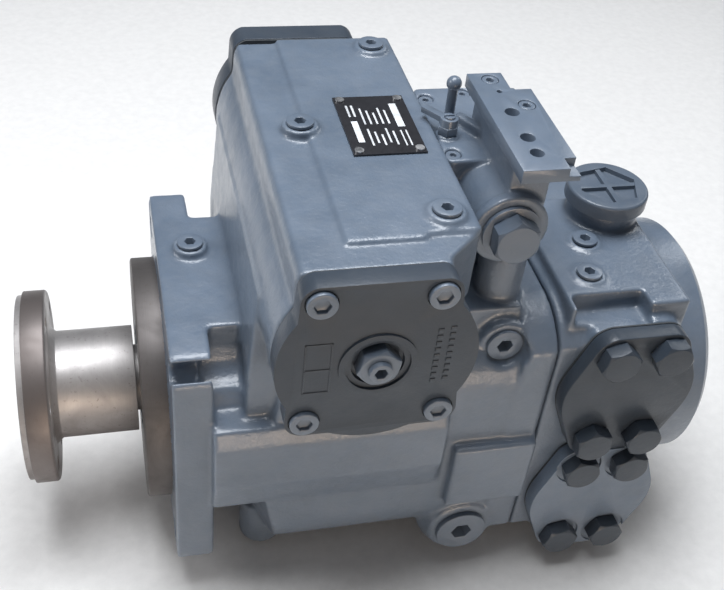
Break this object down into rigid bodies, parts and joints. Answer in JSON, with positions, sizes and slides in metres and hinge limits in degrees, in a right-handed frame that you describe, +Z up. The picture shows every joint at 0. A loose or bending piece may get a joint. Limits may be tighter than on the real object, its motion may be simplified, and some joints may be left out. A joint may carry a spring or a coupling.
{
  "type": "axial piston pump",
  "caption": "Variable displacement swashplate pump with a four-bolt mounting flange, a coupling flange on its drive shaft and blanked side ports.",
  "frame": {"origin": "on the shaft axis, in the plane of the mounting face", "axes": "+X along the shaft towards the boost pump, +Z up, the coupling flange is at -X"},
  "size_m": [0.372, 0.2224, 0.263],
  "materials": {
    "paint": "thick glossy enamel over a rough casting",
    "painted_fastener": "steel fasteners painted over with the casting",
    "bare_steel": "turned, oiled",
    "hard_steel": "ground",
    "spring_steel": "oiled",
    "bronze": "lapped",
    "rubber": "matt",
    "gasket": "matt fibre sheet",
    "nameplate": "satin black",
    "rivet": "satin"
  },
  "bodies": {
    "housing": {"bearing_outer_rings": "hard_steel", "body_port_plugs": "painted_fastener", "boost_housing_screws": "painted_fastener", "boost_pump_housing": "paint", "centring_springs": "spring_steel", "control_valve_body": "paint", "control_valve_screws": "painted_fastener", "cradle_bearings": "bronze", "far_stroke_cover": "paint", "gaskets": "gasket", "interface_plate_screws": "painted_fastener", "joint_screws": "painted_fastener", "low_port_plug": "painted_fastener", "lower_port_cover": "paint", "nameplate": "nameplate", "nameplate_rivets": "rivet", "near_stroke_cover": "paint", "neutral_adjust_screw": "painted_fastener", "neutral_lock_nut": "painted_fastener", "pilot_interface_plate": "paint", "port_block": "paint", "port_cover_bolts": "painted_fastener", "pump_housing": "paint", "rear_cover_plate": "paint", "rear_cover_screws": "painted_fastener", "seal_retaining_ring": "hard_steel", "shaft_seal": "rubber", "small_port_plugs": "painted_fastener", "stroke_cover_screws": "painted_fastener", "suction_port_cap": "paint", "upper_port_cover": "paint", "valve_adjust_screw": "painted_fastener", "valve_end_plug": "painted_fastener", "valve_plate": "bronze"},
    "rotor": {"drive_shaft": "bare_steel", "shaft_key": "bare_steel", "coupling_flange": "bare_steel", "coupling_nut": "bare_steel", "cylinder_block": "hard_steel", "guide_ball": "hard_steel", "block_spring": "spring_steel", "boost_drive_gear": "hard_steel", "bearing_inner_rings": "hard_steel"},
    "front_roller_cage": {"front_bearing_rollers": "hard_steel"},
    "rear_roller_cage": {"rear_bearing_rollers": "hard_steel"},
    "swash": {"swashplate": "hard_steel"},
    "slipper_ring": {"retaining_plate": "hard_steel", "slippers": "bronze"},
    "stroke_piston": {"stroke_piston": "hard_steel"},
    "control_spool": {"control_spool": "hard_steel"},
    "boost_idler": {"boost_idler_gear": "hard_steel"},
    "piston_1": {"piston_1": "hard_steel"},
    "piston_2": {"piston_2": "hard_steel"},
    "piston_3": {"piston_3": "hard_steel"},
    "piston_4": {"piston_4": "hard_steel"},
    "piston_5": {"piston_5": "hard_steel"},
    "piston_6": {"piston_6": "hard_steel"},
    "piston_7": {"piston_7": "hard_steel"},
    "piston_8": {"piston_8": "hard_steel"},
    "piston_9": {"piston_9": "hard_steel"}
  },
  "joints": [
    {"name": "shaft_spin", "type": "hinge", "parent": "housing", "child": "rotor", "pos_m": [0, 0, 0], "axis": [1, 0, 0], "continuous": true},
    {"name": "boost_idler_spin", "type": "hinge", "parent": "housing", "child": "boost_idler", "pos_m": [0.25, 0.035, 0], "axis": [1, 0, 0], "continuous": true},
    {"name": "front_cage_spin", "type": "hinge", "parent": "housing", "child": "front_roller_cage", "pos_m": [0.012, 0, 0], "axis": [1, 0, 0], "continuous": true},
    {"name": "rear_cage_spin", "type": "hinge", "parent": "housing", "child": "rear_roller_cage", "pos_m": [0.191, 0, 0], "axis": [1, 0, 0], "continuous": true},
    {"name": "swash_tilt", "type": "hinge", "parent": "housing", "child": "swash", "pos_m": [0.056, 0, 0], "axis": [0, 0, 1], "range_deg": [-18, 18], "stiffness_Nm_per_rad": 40, "deforming": ["piston_1", "piston_2", "piston_3", "piston_4", "piston_5", "piston_6", "piston_7", "piston_8", "piston_9", "slippers", "centring_springs"]},
    {"name": "slipper_ring_spin", "type": "hinge", "parent": "swash", "child": "slipper_ring", "pos_m": [0.056, 0, 0], "axis": [1, 0, 0], "continuous": true},
    {"name": "stroke_piston_slide", "type": "slide", "parent": "housing", "child": "stroke_piston", "axis": [0, 1, 0], "range_m": [-0.0083, 0.0083]},
    {"name": "control_spool_slide", "type": "slide", "parent": "housing", "child": "control_spool", "axis": [0, 1, 0], "range_m": [-0.0025, 0.0025], "stiffness_N_per_m": 3000},
    {"name": "piston_1_slide", "type": "slide", "parent": "rotor", "child": "piston_1", "axis": [1, 0, 0], "range_m": [-0.01382, 0.01382]},
    {"name": "piston_2_slide", "type": "slide", "parent": "rotor", "child": "piston_2", "axis": [1, 0, 0], "range_m": [-0.01071, 0.01071]},
    {"name": "piston_3_slide", "type": "slide", "parent": "rotor", "child": "piston_3", "axis": [1, 0, 0], "range_m": [-0.00281, 0.00281]},
    {"name": "piston_4_slide", "type": "slide", "parent": "rotor", "child": "piston_4", "axis": [1, 0, 0], "range_m": [-0.00716, 0.00716]},
    {"name": "piston_5_slide", "type": "slide", "parent": "rotor", "child": "piston_5", "axis": [1, 0, 0], "range_m": [-0.01302, 0.01302]},
    {"name": "piston_6_slide", "type": "slide", "parent": "rotor", "child": "piston_6", "axis": [1, 0, 0], "range_m": [-0.01302, 0.01302]},
    {"name": "piston_7_slide", "type": "slide", "parent": "rotor", "child": "piston_7", "axis": [1, 0, 0], "range_m": [-0.00716, 0.00716]},
    {"name": "piston_8_slide", "type": "slide", "parent": "rotor", "child": "piston_8", "axis": [1, 0, 0], "range_m": [-0.00281, 0.00281]},
    {"name": "piston_9_slide", "type": "slide", "parent": "rotor", "child": "piston_9", "axis": [1, 0, 0], "range_m": [-0.01071, 0.01071]}
  ],
  "couplings": [
    {"joint": "boost_idler_spin", "follows": "shaft_spin", "ratio": -1},
    {"joint": "front_cage_spin", "follows": "shaft_spin", "ratio": 0.435},
    {"joint": "rear_cage_spin", "follows": "shaft_spin", "ratio": 0.453},
    {"joint": "slipper_ring_spin", "follows": "shaft_spin", "ratio": 1},
    {"joint": "stroke_piston_slide", "follows": "swash_tilt", "m_per_rad": 0.025574},
    {"joint": "piston_1_slide", "follows": "swash_tilt", "m_per_rad": -0.042404},
    {"joint": "piston_2_slide", "follows": "swash_tilt", "m_per_rad": -0.032484},
    {"joint": "piston_3_slide", "follows": "swash_tilt", "m_per_rad": -0.007363},
    {"joint": "piston_4_slide", "follows": "swash_tilt", "m_per_rad": 0.021202},
    {"joint": "piston_5_slide", "follows": "swash_tilt", "m_per_rad": 0.039847},
    {"joint": "piston_6_slide", "follows": "swash_tilt", "m_per_rad": 0.039847},
    {"joint": "piston_7_slide", "follows": "swash_tilt", "m_per_rad": 0.021202},
    {"joint": "piston_8_slide", "follows": "swash_tilt", "m_per_rad": -0.007363},
    {"joint": "piston_9_slide", "follows": "swash_tilt", "m_per_rad": -0.032484}
  ]
}
